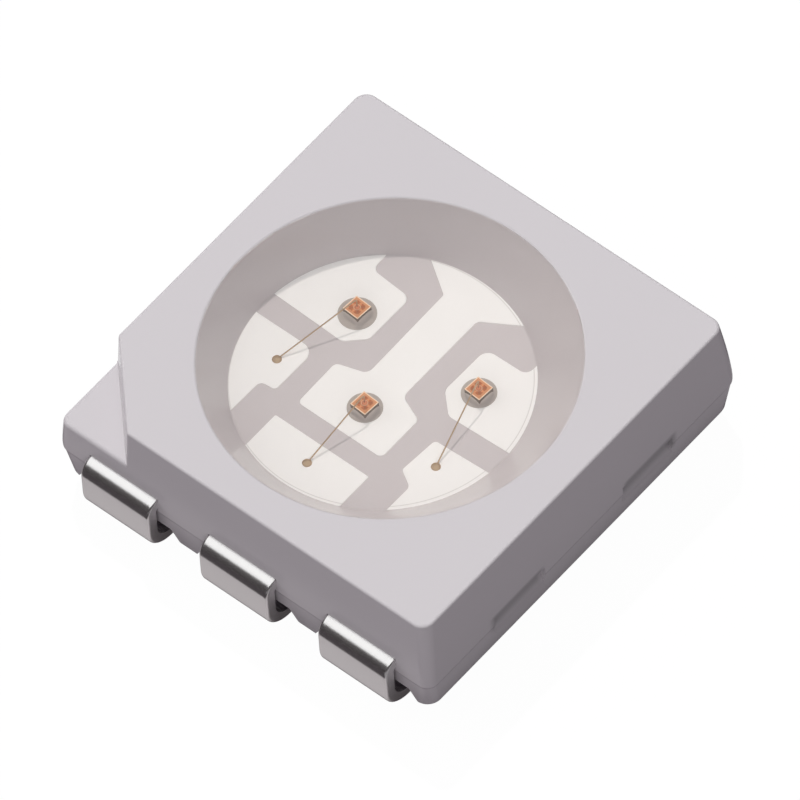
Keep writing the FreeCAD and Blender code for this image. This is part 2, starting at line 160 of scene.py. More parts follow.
class HousingSizes(bpy.types.PropertyGroup):
    width: length("Width", "Across the parting land", 5.01)
    top: length("Top", "Top face over the board", 1.6)
    standoff: length("Standoff", "Underside over the board", 0.12)
    land_step: length("Land step", "How proud the parting land stands", 0.011)
    land_height: length("Land height", "Height of the parting land", 0.08)
    lean: length("Lean", "How far each side leans in, up and down from the land", 0.064)
    top_corner: length("Top corner", "Corner radius at the top face", 0.15)
    waist_corner: length("Waist corner", "Corner radius at the parting land", 0.13)
    bottom_corner: length("Bottom corner", "Corner radius at the underside", 0.18)
    top_edge: length("Top edge", "Rounding of the top edge", 0.028)
    bottom_edge: length("Bottom edge", "Rounding of the bottom edge", 0.10)
    cut_x: length("Corner cut X", "Polarity corner along the front", 0.87)
    cut_y: length("Corner cut Y", "Polarity corner along the left side", 0.893)
    ledge: length("Ledge", "Height of the polarity corner's ledge", 1.08)
    cut_draft: length("Cut draft", "How far the cut wall's foot stands out", 0.046)
    cut_edge: length("Cut edge", "Rounding of the cut wall's upright edges", 0.06)
    ledge_edge: length("Ledge edge", "Rounding round the outside of the ledge", 0.05)
    notch_width: length("Notch width", "Width of a tie-bar notch", 0.81)
    notch_place: length("Notch place", "Notch from the middle plane", 1.035)
    notch_depth: length("Notch depth", "Depth of a notch at its top", 0.10)
    notch_top: length("Notch top", "Top of a notch over the board", 0.75)
    notch_height: length("Notch height", "Height of a notch", 0.31)
    cut_hollow: length("Cut hollow", "Hollow at the foot of the cut wall", 0.012)
    pocket_height: length("Pocket height", "Ceiling of a lead's pocket over the board", 0.39)
    pocket_side: length("Pocket side", "Space beside a lead at the pocket's ceiling", 0.13)
    pocket_flare: length("Pocket flare", "How much wider a pocket's mouth is on each side", 0.14)
    pocket_tip: length("Pocket tip", "Space past a foot's tip", 0.05)


class CupSizes(bpy.types.PropertyGroup):
    rim: length("Rim", "Diameter at the top face", 4.03)
    floor: length("Floor", "Diameter at the pads", 3.22)
    rim_edge: length("Rim edge", "Rounding of the rim", 0.022)
    floor_edge: length("Floor edge", "Hollow rounding round the floor", 0.018)
    pad_stand: length("Pad stand", "How proud the pads stand of the plastic floor", 0.004)
    fill_drop: length("Fill drop", "Resin surface under the top face", 0.012)
    meniscus: length("Meniscus", "How high the resin climbs at the wall", 0.004)
    meniscus_reach: length("Meniscus reach", "Width of the resin's climb", 0.09)


class LeadSizes(bpy.types.PropertyGroup):
    sheet: length("Sheet", "Thickness of the lead frame", 0.14)
    underside: length("Underside", "Underside of the sheet over the board", 0.70)
    pitch: length("Pitch", "From lead to lead", 1.6)
    width: length("Width", "Width of a lead", 0.92)
    over_leads: length("Over leads", "Outer face to outer face", 5.34)
    upper_bend: length("Upper bend", "Outside radius beside the housing", 0.19)
    lower_bend: length("Lower bend", "Outside radius at the board", 0.36)
    foot: length("Foot", "From the outer face to the foot's tip", 0.82)
    stamped_edge: length("Stamped edge", "Rounding along the outer side", 0.035)
    burr_edge: length("Burr edge", "Rounding along the inner side", 0.012)
    pad_edge: length("Pad edge", "Rounding round the pads", 0.006)


class ChipSizes(bpy.types.PropertyGroup):
    side: length("Side", "Side of a chip", 0.215)
    height: length("Height", "Height of a chip", 0.135)
    glue_line: length("Glue line", "Glue under a chip", 0.012)
    glue_climb: length("Glue climb", "Height to which glue wets a chip", 0.098)
    film: length("Film", "Thickness of the contact film", 0.005)
    film_pad: length("Film pad", "Diameter of the contact's round pad", 0.085)
    film_arm: length("Film arm", "Width of the contact's arms", 0.018)
    film_margin: length("Film margin", "From the contact's frame to the chip's edge", 0.022)
    film_frame: length("Film frame", "Width of the contact's frame", 0.014)
    wire: length("Wire", "Diameter of a bond wire", 0.016)
    wire_rise: length("Wire rise", "From a chip up to the wire's knee", 0.24)
    wire_bend: length("Wire bend", "Radius of the wire's knee", 0.03)
    chip_ball: length("Chip ball", "Diameter of the bond on a chip", 0.06)
    pad_ball: length("Pad ball", "Diameter of the bond on a pad", 0.105)
    ball_height: length("Ball height", "Height of a bond", 0.02)


class Finishes(bpy.types.PropertyGroup):
    plastic: colour("Plastic", "Moulded housing", (0.60, 0.568, 0.592))
    plating: colour("Plating", "Bright plating of the leads", (0.93, 0.92, 0.915))
    pads: colour("Pads", "Matt silver of the pads", (0.98, 0.99, 1.0))
    crystal: colour("Crystal", "Top of a chip", (0.75, 0.32, 0.14))
    crystal_dark: colour("Crystal dark", "Dark fields on a chip", (0.50, 0.14, 0.042))
    crystal_edge: colour("Crystal edge", "Edge of a chip's top", (0.95, 0.75, 0.57))
    # Painted shade: the chips' sides carry the dark of the shade they lie in
    shaded_crystal_side: colour("Crystal side", "Sides of a chip", (0.15, 0.105, 0.08))
    glue: colour("Glue", "Die glue", (0.48, 0.435, 0.41))
    film: colour("Film", "Contact film's arms", (0.45, 0.16, 0.07))
    film_frame: colour("Film frame", "Contact film's frame", (0.72, 0.34, 0.165))
    film_pad: colour("Film pad", "Contact film's round pad", (0.80, 0.48, 0.29))
    wire: colour("Wire", "Bond wire", (0.62, 0.46, 0.31))
    # Painted reflection of the chips in the bonds that sit on them
    bond: colour("Bond", "Bond on a chip", (0.92, 0.40, 0.23))
    resin: colour("Resin", "Tint of the resin", (0.97, 0.95, 0.92))
    resin_shade: colour("Resin shade", "Light that the resin lets through to what it covers",
                        (0.58, 0.54, 0.50))
    resin_index: FloatProperty(name="Resin index", description="Refractive index of the resin",
                               default=1.53, min=1.0, max=2.0)


class StudioSettings(bpy.types.PropertyGroup):
    key: power("Key", "Power of the small key lamp", 0.67)
    overhead: power("Overhead", "Power of the large overhead lamp", 0.12)
    fill: power("Fill", "Power of the wide lamp in front", 0.23)
    side: power("Side", "Power of the wide lamp on the left", 0.21)
    ambient: share("Ambient", "Light from all round", 0.27)
    through_resin: share("Through resin", "Light from all round that reaches the cup", 1.0)


# ---- Meshes

def corner_points(before, here, after, radius, steps):
    """The arc that rounds one corner of an outline."""
    here = Vector(here)
    to_before = (Vector(before) - here).normalized()
    to_after = (Vector(after) - here).normalized()
    if radius == 0:
        return [here]
    half_angle = to_before.angle(to_after) / 2
    setback = radius / math.tan(half_angle)
    centre = here + (to_before + to_after).normalized() * (radius / math.sin(half_angle))
    start = here + to_before * setback - centre
    end = here + to_after * setback - centre
    return [centre + start.slerp(end, i / steps).normalized() * radius for i in range(steps + 1)]


def outline(corners, steps=10):
    """Points along a closed outline through (x, y, radius) corners."""
    points = []
    for i, (x, y, radius) in enumerate(corners):
        before = corners[i - 1][:2]
        after = corners[(i + 1) % len(corners)][:2]
        points += corner_points(before, (x, y), after, radius, steps)
    return points


def rectangle(x0, x1, y0, y1, radius=0):
    """The corners of an upright block."""
    return [(x0, y0, radius), (x1, y0, radius), (x1, y1, radius), (x0, y1, radius)]


def at_height(points, z):
    return [(point[0], point[1], z) for point in points]


def circle(x, y, z, radius, segments):
    turn = 2 * math.pi / segments
    return [(x + radius * math.cos(turn * i), y + radius * math.sin(turn * i), z)
            for i in range(segments)]


def tube(rings):
    """An open mesh through rings with the same number of points, and its rows of points."""
    bm = bmesh.new()
    rows = [[bm.verts.new(point) for point in ring] for ring in rings]
    count = len(rings[0])
    for low, high in zip(rows, rows[1:]):
        for i in range(count):
            after = (i + 1) % count
            bm.faces.new((low[i], low[after], high[after], high[i]))
    return bm, rows


def loft(rings):
    """A tube with a flat cap at each end."""
    bm, rows = tube(rings)
    bm.faces.new(reversed(rows[0]))
    bm.faces.new(rows[-1])
    bmesh.ops.remove_doubles(bm, verts=bm.verts, dist=LOFT_WELD)
    bmesh.ops.recalc_face_normals(bm, faces=bm.faces)
    return bm


def plate(corners, z0, z1):
    """An upright solid between two heights."""
    points = outline(corners)
    return loft([at_height(points, z) for z in (z0, z1)])


def to_object(name, bm):
    """An object in millimetres, for the modifiers that finish it."""
    mesh = bpy.data.meshes.new(name)
    bm.to_mesh(mesh)
    bm.free()
    made = bpy.data.objects.new(name, mesh)
    bpy.context.collection.objects.link(made)
    return made


def settle(made):
    """Turns an object and its modifiers into a plain mesh."""
    evaluated = made.evaluated_get(bpy.context.evaluated_depsgraph_get())
    mesh = bpy.data.meshes.new_from_object(evaluated)
    made.modifiers.clear()
    old = made.data
    made.data = mesh
    bpy.data.meshes.remove(old)
    return made


def carve(made, cutters, operation="DIFFERENCE"):
    """Cuts one solid after another out of an object, or joins them to it."""
    for bm in cutters:
        tool = to_object("tool", bm)
        modifier = made.modifiers.new("carve", "BOOLEAN")
        modifier.operation = operation
        modifier.solver = "EXACT"
        modifier.object = tool
        settle(made)
        mesh = tool.data
        bpy.data.objects.remove(tool)
        bpy.data.meshes.remove(mesh)


def tidy_mesh(made, sharp_degrees):
    """Merges what the cuts left, shades it smooth and gives flat faces their own normals."""
    bm = bmesh.new()
    bm.from_mesh(made.data)
    bmesh.ops.remove_doubles(bm, verts=bm.verts, dist=CUT_WELD)
    bmesh.ops.dissolve_degenerate(bm, edges=bm.edges, dist=SLIVER)
    bmesh.ops.recalc_face_normals(bm, faces=bm.faces)
    for face in bm.faces:
        face.smooth = True
    bm.to_mesh(made.data)
    bm.free()
    made.data.set_sharp_from_angle(angle=math.radians(sharp_degrees))
    weighted = made.modifiers.new("weighted", "WEIGHTED_NORMAL")
    weighted.keep_sharp = True
    weighted.weight = 100
    settle(made)


def turn(made, x, y, angle):
    """Turns a piece about an upright axis."""
    there = Matrix.Translation((x, y, 0.0))
    made.data.transform(there @ Matrix.Rotation(angle, 4, "Z") @ there.inverted())


def finish_piece(made, name, material, slot, *nodes):
    """Brings a piece from millimetres to metres and puts it in the place of its CAD nodes."""
    made.name = name
    made.data.name = name
    made.data.transform(Matrix.Scale(MM, 4))
    made.data.materials.clear()
    made.data.materials.append(material)
    for face in made.data.polygons:
        face.material_index = 0
    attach(made, "root")
    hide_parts(*nodes)


# ---- Node trees

class Nodes:
    """Short calls that add nodes to a tree and join them."""

    def __init__(self, tree):
        self.tree = tree

    def add(self, kind, inputs=(), **settings):
        """A node whose inputs are sockets to link or plain values."""
        node = self.tree.nodes.new(kind)
        for key, value in settings.items():
            setattr(node, key, value)
        for key, value in dict(inputs).items():
            if isinstance(value, bpy.types.NodeSocket):
                self.tree.links.new(value, node.inputs[key])
            else:
                node.inputs[key].default_value = value
        return node

    def maths(self, operation, *values):
        node = self.add("ShaderNodeMath", dict(enumerate(values)), operation=operation)
        return node.outputs[0]

    def product(self, value, *others):
        for other in others:
            value = self.maths("MULTIPLY", value, other)
        return value

    def ramp(self, value, start, end, low=0.0, high=1.0):
        """A value that runs from low to high while the given one runs from start to end."""
        node = self.add("ShaderNodeMapRange", {
            "Value": value, "From Min": start, "From Max": end, "To Min": low, "To Max": high},
            interpolation_type="SMOOTHSTEP")
        return node.outputs[0]

    def axes(self, kind="Object"):
        """The X, Y and Z of a texture coordinate."""
        place = self.add("ShaderNodeTexCoord").outputs[kind]
        return self.add("ShaderNodeSeparateXYZ", {0: place}).outputs

    def distance(self, millimetres):
        """How far the surface is from a point, in metres."""
        return self.add("ShaderNodeVectorMath", {
            0: self.add("ShaderNodeTexCoord").outputs["Object"],
            1: [value * MM for value in millimetres]}, operation="DISTANCE").outputs["Value"]

    def mix(self, factor, first, last):
        """Blends two colours, each a socket or plain red, green and blue."""
        colours = [value if isinstance(value, bpy.types.NodeSocket) else (*value, 1.0)
                   for value in (first, last)]
        return self.add("ShaderNodeMix", {"Factor": factor, 6: colours[0], 7: colours[1]},
                        data_type="RGBA").outputs[2]

    def lay_over(self, shader, factor, colour):
        """Blends a colour into the one that a shader has."""
        base = shader.inputs["Base Color"]
        self.tree.links.new(self.mix(factor, base.links[0].from_socket, colour), base)


def new_group(name, kind, inputs, outputs):
    tree = bpy.data.node_groups.new(name, kind)
    for label, socket_type, default in inputs:
        socket = tree.interface.new_socket(label, in_out="INPUT", socket_type=socket_type)
        if default is not None:
            socket.default_value = default
    for label, socket_type in outputs:
        tree.interface.new_socket(label, in_out="OUTPUT", socket_type=socket_type)
    nodes = Nodes(tree)
    return tree, nodes, nodes.add("NodeGroupInput"), nodes.add("NodeGroupOutput")


FLOAT = "NodeSocketFloat"
GEOMETRY = "NodeSocketGeometry"
MATERIAL = "NodeSocketMaterial"


def strip_tree():
    """A sheet-metal strip along a path, with its own radius at the high and at the low bend."""
    tree, nodes, given, result = new_group("Lead Strip", "GeometryNodeTree", [
        ("Geometry", GEOMETRY, None), ("Width", FLOAT, 0.92), ("Sheet", FLOAT, 0.14),
        ("High Bend", FLOAT, 0.12), ("Low Bend", FLOAT, 0.29), ("Middle Height", FLOAT, 0.4),
        ("Outer Edge", FLOAT, 0.035), ("Inner Edge", FLOAT, 0.012),
        ("Material", MATERIAL, None)], [("Geometry", GEOMETRY)])
    given = given.outputs
    path = nodes.add("GeometryNodeMeshToCurve", {"Mesh": given["Geometry"]})
    position = nodes.add("GeometryNodeInputPosition").outputs[0]
    place = nodes.add("ShaderNodeSeparateXYZ", {0: position}).outputs
    is_high = nodes.maths("GREATER_THAN", place["Z"], given["Middle Height"])
    is_inner = nodes.maths("GREATER_THAN", place["Y"], 0.0)

    def either(test, no, yes):
        spread = nodes.maths("SUBTRACT", yes, no)
        return nodes.maths("MULTIPLY_ADD", test, spread, no)

    bend = either(is_high, given["Low Bend"], given["High Bend"])
    bent = nodes.add("GeometryNodeFilletCurve", {
        "Curve": path.outputs[0], "Count": 28, "Radius": bend}, mode="POLY")
    section = nodes.add("GeometryNodeCurvePrimitiveQuadrilateral", {
        "Width": given["Width"], "Height": given["Sheet"]})
    edge = either(is_inner, given["Outer Edge"], given["Inner Edge"])
    rounded = nodes.add("GeometryNodeFilletCurve", {
        "Curve": section.outputs[0], "Count": 6, "Radius": edge}, mode="POLY")
    strip = nodes.add("GeometryNodeCurveToMesh", {
        "Curve": bent.outputs[0], "Profile Curve": rounded.outputs[0], "Fill Caps": True})
    whole = nodes.add("GeometryNodeRealizeInstances", {0: strip.outputs[0]})
    dressed = nodes.add("GeometryNodeSetMaterial", {
        "Geometry": whole.outputs[0], "Material": given["Material"]})
    tree.links.new(dressed.outputs[0], result.inputs[0])
    return tree


def wire_tree():
    """A bond wire along a path with a bond at each end."""
    tree, nodes, given, result = new_group("Bond Wire", "GeometryNodeTree", [
        ("Geometry", GEOMETRY, None), ("Diameter", FLOAT, 0.024), ("Bend", FLOAT, 0.06),
        ("First Bond", FLOAT, 0.06), ("Last Bond", FLOAT, 0.105), ("Bond Height", FLOAT, 0.02),
        ("Material", MATERIAL, None)], [("Geometry", GEOMETRY)])
    given = given.outputs
    path = nodes.add("GeometryNodeMeshToCurve", {"Mesh": given["Geometry"]})
    bent = nodes.add("GeometryNodeFilletCurve", {
        "Curve": path.outputs[0], "Count": 14, "Radius": given["Bend"]}, mode="POLY")
    radius = nodes.maths("MULTIPLY", given["Diameter"], 0.5)
    section = nodes.add("GeometryNodeCurvePrimitiveCircle", {"Resolution": 20, "Radius": radius})
    wire = nodes.add("GeometryNodeCurveToMesh", {
        "Curve": bent.outputs[0], "Profile Curve": section.outputs[0], "Fill Caps": True})
    ball = nodes.add("GeometryNodeMeshUVSphere", {"Segments": 36, "Rings": 18, "Radius": 0.5})
    height = nodes.maths("MULTIPLY", given["Bond Height"], 2.0)
    bonds = []
    for start, end, width in ((1, 0, "First Bond"), (0, 1, "Last Bond")):
        chosen = nodes.add("GeometryNodeCurveEndpointSelection", {
            "Start Size": start, "End Size": end})
        size = nodes.add("ShaderNodeCombineXYZ", {"X": given[width], "Y": given[width],
                                                  "Z": height})
        bonds.append(nodes.add("GeometryNodeInstanceOnPoints", {
            "Points": path.outputs[0], "Selection": chosen.outputs[0],
            "Instance": ball.outputs["Mesh"], "Scale": size.outputs[0]}).outputs[0])
    joined = nodes.add("GeometryNodeJoinGeometry")
    for piece in (wire.outputs[0], *bonds):
        tree.links.new(piece, joined.inputs[0])
    whole = nodes.add("GeometryNodeRealizeInstances", {0: joined.outputs[0]})
    dressed = nodes.add("GeometryNodeSetMaterial", {
        "Geometry": whole.outputs[0], "Material": given["Material"]})
    tree.links.new(dressed.outputs[0], result.inputs[0])
    return tree


def along_path(name, points, tree, values):
    """Runs a geometry node tree on a path and keeps the result as a plain mesh."""
    bm = bmesh.new()
    row = [bm.verts.new(point) for point in points]
    for first, last in zip(row, row[1:]):
        bm.edges.new((first, last))
    made = to_object(name, bm)
    modifier = made.modifiers.new("shape", "NODES")
    modifier.node_group = tree
    for item in tree.interface.items_tree:
        if item.in_out == "INPUT" and item.name in values:
            modifier[item.identifier] = values[item.name]
    return settle(made)


# ---- Materials

def grain_group():
    """Fine grain and slow variation over a surface, at sizes given in metres."""
    name = "Surface Grain"
    if name in bpy.data.node_groups:
        return bpy.data.node_groups[name]
    tree, nodes, given, result = new_group(name, "ShaderNodeTree", [
        ("Grain Size", FLOAT, 0.00004), ("Patch Size", FLOAT, 0.0008),
        ("Stretch", "NodeSocketVector", (1.0, 1.0, 1.0))],
        [("Grain", FLOAT), ("Patches", FLOAT)])
    given = given.outputs
    place = nodes.add("ShaderNodeTexCoord").outputs["Object"]
    stretched = nodes.add("ShaderNodeVectorMath", {0: place, 1: given["Stretch"]},
                          operation="MULTIPLY").outputs[0]
    fine = nodes.add("ShaderNodeTexNoise", {
        "Vector": stretched, "Scale": nodes.maths("DIVIDE", 1.0, given["Grain Size"]),
        "Detail": 3.0, "Roughness": 0.6})
    slow = nodes.add("ShaderNodeTexNoise", {
        "Vector": place, "Scale": nodes.maths("DIVIDE", 1.0, given["Patch Size"]),
        "Detail": 4.0, "Roughness": 0.55})
    tree.links.new(fine.outputs[0], result.inputs["Grain"])
    tree.links.new(slow.outputs[0], result.inputs["Patches"])
    return tree


def add_grain(nodes, grain_size, patch_size, stretch=(1.0, 1.0, 1.0)):
    return nodes.add("ShaderNodeGroup", {
        "Grain Size": grain_size, "Patch Size": patch_size, "Stretch": stretch},
        node_tree=grain_group()).outputs


def empty_material(name):
    material = bpy.data.materials.new(name)
    material.use_nodes = True
    material.node_tree.nodes.clear()
    return material, Nodes(material.node_tree)


def new_material(name):
    material, nodes = empty_material(name)
    shader = nodes.add("ShaderNodeBsdfPrincipled")
    nodes.add("ShaderNodeOutputMaterial", {"Surface": shader.outputs[0]})
    return material, nodes, shader


def grained_material(name, base, metallic, roughness, spread, grain_size, patch_size, relief,
                     tint, stretch=(1.0, 1.0, 1.0)):
    """A finish whose colour and roughness drift over the surface, with fine relief."""
    material, nodes, shader = new_material(name)
    grain = add_grain(nodes, grain_size, patch_size, stretch)
    light = [min(1.0, value * (1 + tint)) for value in base]
    dark = [value * (1 - tint) for value in base]
    mixed = nodes.mix(grain["Patches"], dark, light)
    rough = nodes.add("ShaderNodeMapRange", {
        "Value": grain["Grain"], "From Min": 0.3, "From Max": 0.7,
        "To Min": roughness - spread, "To Max": roughness + spread})
    bump = nodes.add("ShaderNodeBump", {"Height": grain["Grain"], "Distance": relief})
    links = material.node_tree.links
    links.new(mixed, shader.inputs["Base Color"])
    links.new(rough.outputs[0], shader.inputs["Roughness"])
    links.new(bump.outputs[0], shader.inputs["Normal"])
    shader.inputs["Metallic"].default_value = metallic
    return material, nodes, shader


# ---- The housing

def pad_top(leads):
    """Height of the pads' upper face."""
    return leads.underside + leads.sheet


def pad_end(s, leads):
    """How far from the middle the pads end, inside the housing's wall."""
    return s.width / 2 - s.land_step - leads.sheet / 2


def lead_places(leads):
    return {"left": -leads.pitch, "middle": 0.0, "right": leads.pitch}


def wall_half(s, z):
    """Half the housing's width at a height, without the land's step under the parting plane."""
    parting = sizes("leads").underside
    if z >= parting:
        up = (z - parting) / (s.top - parting)
        return s.width / 2 - (s.land_step + s.lean) * up ** UPPER_SWELL
    low = parting - s.land_height
    down = max(0.0, low - z) / (low - s.standoff)
    return s.width / 2 - s.land_step - s.lean * down ** LOWER_SWELL


def wall_corner(s, z):
    """The radius of the housing's upright corners at a height."""
    parting = sizes("leads").underside
    if z >= parting:
        change = s.top_corner - s.waist_corner
        return s.waist_corner + change * (z - parting) / (s.top - parting)
    change = s.waist_corner - s.bottom_corner
    return s.bottom_corner + change * (z - s.standoff) / (parting - s.standoff)


def cut_line(s, z, inset):
    """The polarity corner's wall at a height, as a normal and its distance from the middle."""
    top_half = wall_half(s, s.top)
    foot = s.cut_draft * (s.top - z) / (s.top - s.ledge)
    normal = Vector((s.cut_y, s.cut_x)).normalized()
    on_line = Vector((-top_half, -top_half + s.cut_y - foot))
    return normal, -normal.dot(on_line) - inset


def wall_ring(corners, z):
    return at_height(outline(corners, 12), z)


def full_ring(s, z, inset=0.0, corner_loss=1.0, proud=0.0):
    """One level of the housing with all its four corners."""
    half = wall_half(s, z) - inset + proud
    radius = wall_corner(s, z) - inset * corner_loss
    return wall_ring([(half, -half, radius), (half, half, radius), (-half, half, radius),
                      (-half, -half, radius)], z)


def cut_ring(s, z, cut_inset=0.0, inset=0.0):
    """One level of the housing without its polarity corner."""
    half = wall_half(s, z) - inset
    radius = wall_corner(s, z) - inset * TOP_CORNER_LOSS
    normal, distance = cut_line(s, z, cut_inset)
    on_side = (normal.x * half - distance) / normal.y
    on_front = (normal.y * half - distance) / normal.x
    return wall_ring([(half, -half, radius), (half, half, radius), (-half, half, radius),
                      (-half, on_side, s.cut_edge), (on_front, -half, s.cut_edge)], z)


def quarter(steps=8):
    """Sine and cosine of steps through a quarter turn."""
    angles = [math.pi / 2 * i / steps for i in range(steps + 1)]
    return [(math.sin(angle), math.cos(angle)) for angle in angles]


def lower_levels(s):
    """The whole block from the underside to the ledge."""
    parting = sizes("leads").underside
    low = parting - s.land_height
    rings = []
    for sine, cosine in quarter():
        z = s.standoff + s.bottom_edge * (1 - cosine)
        rings.append(full_ring(s, z, s.bottom_edge * (1 - sine), FOOT_CORNER_LOSS))
    for up, proud in LAND_PROFILE:
        rings.append(full_ring(s, low + up, proud=s.land_step * proud))
    rings.append(full_ring(s, parting))
    for step in range(1, 4):
        z = parting + (s.ledge - s.ledge_edge - parting) * step / 4
        rings.append(full_ring(s, z))
    for sine, cosine in quarter():
        z = s.ledge - s.ledge_edge * (1 - sine)
        rings.append(full_ring(s, z, s.ledge_edge * (1 - cosine)))
    return rings


def upper_levels(s):
    """The block over the ledge, from where the ledge's rounding starts to the top face."""
    rings = [cut_ring(s, s.ledge - s.ledge_edge, -s.cut_hollow)]
    for sine, cosine in quarter(6):
        z = s.ledge + s.cut_hollow * (1 - cosine)
        rings.append(cut_ring(s, z, -s.cut_hollow * (1 - sine)))
    for step in range(1, 6):
        z = s.ledge + s.cut_hollow + (s.top - s.top_edge - s.ledge - s.cut_hollow) * step / 6
        rings.append(cut_ring(s, z))
    for sine, cosine in quarter():
        inset = s.top_edge * (1 - cosine)
        rings.append(cut_ring(s, s.top - s.top_edge * (1 - sine), inset, inset))
    return rings


def cup_circle(z, offset=0.0):
    """The cup at a height, made wider or narrower by an offset."""
    cup, s, pads = sizes("cup"), sizes("housing"), pad_top(sizes("leads"))
    up = (z - pads) / (s.top - pads)
    x, y = (place + shift * up for place, shift in zip(CUP_MIDDLE, CUP_SHIFT))
    radius = (cup.floor + (cup.rim - cup.floor) * up) / 2
    return circle(x, y, z, radius + offset, CUP_SEGMENTS)


def cup_cutter():
    """The cup's hollow with its rounded floor and rim, up to well over the top face."""
    cup, s = sizes("cup"), sizes("housing")
    floor = pad_top(sizes("leads")) - cup.pad_stand
    rings = [cup_circle(floor + cup.floor_edge * (1 - cosine), -cup.floor_edge * (1 - sine))
             for sine, cosine in quarter(6)]
    rings += [cup_circle(s.top - cup.rim_edge * (1 - sine), cup.rim_edge * (1 - cosine))
              for sine, cosine in quarter(6)]
    return loft(rings + [at_height(rings[-1], s.top + cup.rim)])


def prism(profile, start, end):
    """A closed mesh from a profile of (x, z) points, drawn out along Y."""
    return loft([[(x, y, z) for x, z in profile] for y in (start, end)])


def notch_cutters(s):
    """Wedges that run out to nothing at the notches' feet."""
    cutters = []
    foot = s.notch_top - s.notch_height
    half = s.width / 2
    for side in (-1, 1):
        outside = side * (half + s.notch_depth)
        inner = side * (half - s.notch_depth)
        profile = [(inner, s.notch_top), (outside, s.notch_top), (outside, foot),
                   (side * wall_half(s, foot), foot)]
        for y in (-s.notch_place, s.notch_place):
            cutters.append(prism(profile, y - s.notch_width / 2, y + s.notch_width / 2))
    return cutters


def pocket_cutters(s, leads):
    """Flared room round each foot, open downward and to the side."""
    cutters = []
    high = s.pocket_height
    ceiling = leads.width / 2 + s.pocket_side
    mouth = ceiling + s.pocket_flare * high / (high - s.standoff)
    inner = leads.over_leads / 2 - leads.foot - s.pocket_tip
    for x in lead_places(leads).values():
        profile = [(x - mouth, 0.0), (x + mouth, 0.0), (x + ceiling, high), (x - ceiling, high)]
        for y0, y1 in ((-s.width, -inner), (inner, s.width)):
            cutters.append(prism(profile, y0, y1))
    return cutters


def lead_slots(s, leads):
    """Room for the pads and for the leads' ways out."""
    top, end, half = pad_top(leads), pad_end(s, leads), leads.width / 2
    slots = [plate(corners, leads.underside, top + MICRON)
             for corners in pad_outlines(s, leads).values()]
    for x in lead_places(leads).values():
        for y0, y1 in ((-s.width, -end + OVERLAP), (end - OVERLAP, s.width)):
            slots.append(plate(rectangle(x - half, x + half, y0, y1), leads.underside, top))
    return slots


def pad_outlines(s, leads):
    """Plan of each lead inside the housing: its pad in the cup and its neck."""
    half = leads.width / 2
    left, right = -leads.pitch, leads.pitch
    end = pad_end(s, leads)
    return {
        ("front", "left"): [
            (left - half, -end, 0), (left + half, -end, 0), (-1.12, -1.40, 0),
            (-1.11, -0.86, 0.07), (-0.92, -0.84, 0.05), (-0.915, -0.21, 0.15),
            (left - half, -0.21, 0.1)],
        ("front", "middle"): [
            (-half, -end, 0), (half, -end, 0), (half, -2.10, 0.05), (0.54, -1.90, 0.05),
            (0.54, -1.08, 0.02), (-0.72, -1.08, 0.02), (-0.72, -1.90, 0.05),
            (-half, -2.10, 0.05)],
        ("front", "right"): [
            (right - half, -end, 0), (right + half, -end, 0), (right + half, -0.25, 0.1),
            (0.785, -0.31, 0.05), (0.75, -0.80, 0.05), (0.95, -0.92, 0.08), (0.94, -1.60, 0.05),
            (right - half, -1.80, 0.05)],
        ("back", "left"): [
            (left + half, end, 0), (left - half, end, 0), (left - half, 0.09, 0.1),
            (-0.77, 0.05, 0.1), (-0.565, 0.25, 0.1), (-0.56, 0.91, 0.11), (-1.10, 0.95, 0.09)],
        ("back", "middle"): [
            (half, end, 0), (-half, end, 0), (-half, 2.10, 0.05), (-0.80, 1.90, 0.05),
            (-0.80, 1.48, 0.05), (-0.315, 1.155, 0.05), (-0.30, -0.09, 0.1),
            (-0.65, -0.20, 0.07), (-0.64, -0.82, 0.06), (0.49, -0.82, 0.07),
            (0.49, -0.22, 0.08), (0.175, -0.09, 0.1), (0.175, 1.11, 0.08), (0.70, 1.43, 0.05),
            (0.70, 1.90, 0.05), (half, 2.10, 0.05)],
        ("back", "right"): [
            (right + half, end, 0), (right - half, end, 0), (1.03, 1.60, 0.05),
            (1.01, 0.91, 0.1), (0.47, 0.90, 0.12), (0.46, 0.24, 0.13), (0.70, 0.01, 0.1),
            (right + half, 0.06, 0.1)],
    }


